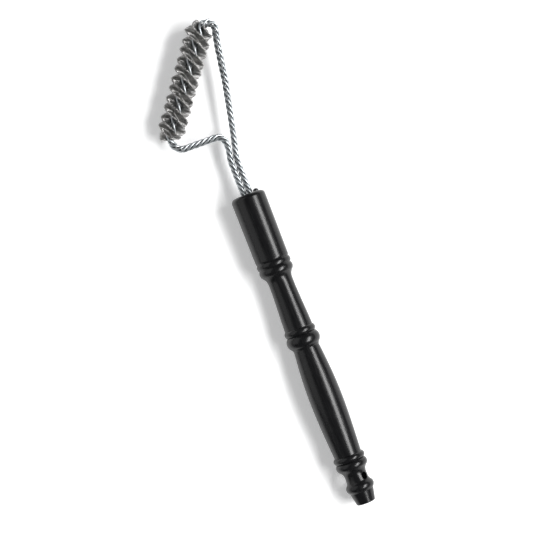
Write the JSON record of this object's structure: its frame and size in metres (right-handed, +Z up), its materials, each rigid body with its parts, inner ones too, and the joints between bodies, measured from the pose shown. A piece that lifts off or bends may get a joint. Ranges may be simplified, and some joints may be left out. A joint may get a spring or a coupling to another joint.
{
  "type": "grill cleaning brush",
  "caption": "Bristle-free grill brush: turned black wooden handle, twisted wire rope bent into a triangle, flattened steel scrubbing coils along its far side.",
  "frame": {"origin": "centre of the bounding box on the surface that the brush lies on", "axes": "+Y along the handle from butt to head, +Z up from the surface, +X to the right seen from above"},
  "size_m": [0.0846, 0.4682, 0.0326],
  "materials": {
    "black_lacquer": "satin-gloss black lacquer over turned wood",
    "black_peg": "gloss black",
    "galvanised_wire": "bright galvanised drawn wire",
    "coil_steel": "dull fine stainless wire"
  },
  "bodies": {
    "root": {"handle": "black_lacquer", "locking_peg": "black_peg", "core_wire_1": "galvanised_wire", "core_wire_2": "galvanised_wire", "core_wire_3": "galvanised_wire", "core_wire_4": "galvanised_wire", "scrub_coil_1": "coil_steel", "scrub_coil_2": "coil_steel"}
  },
  "joints": []
}
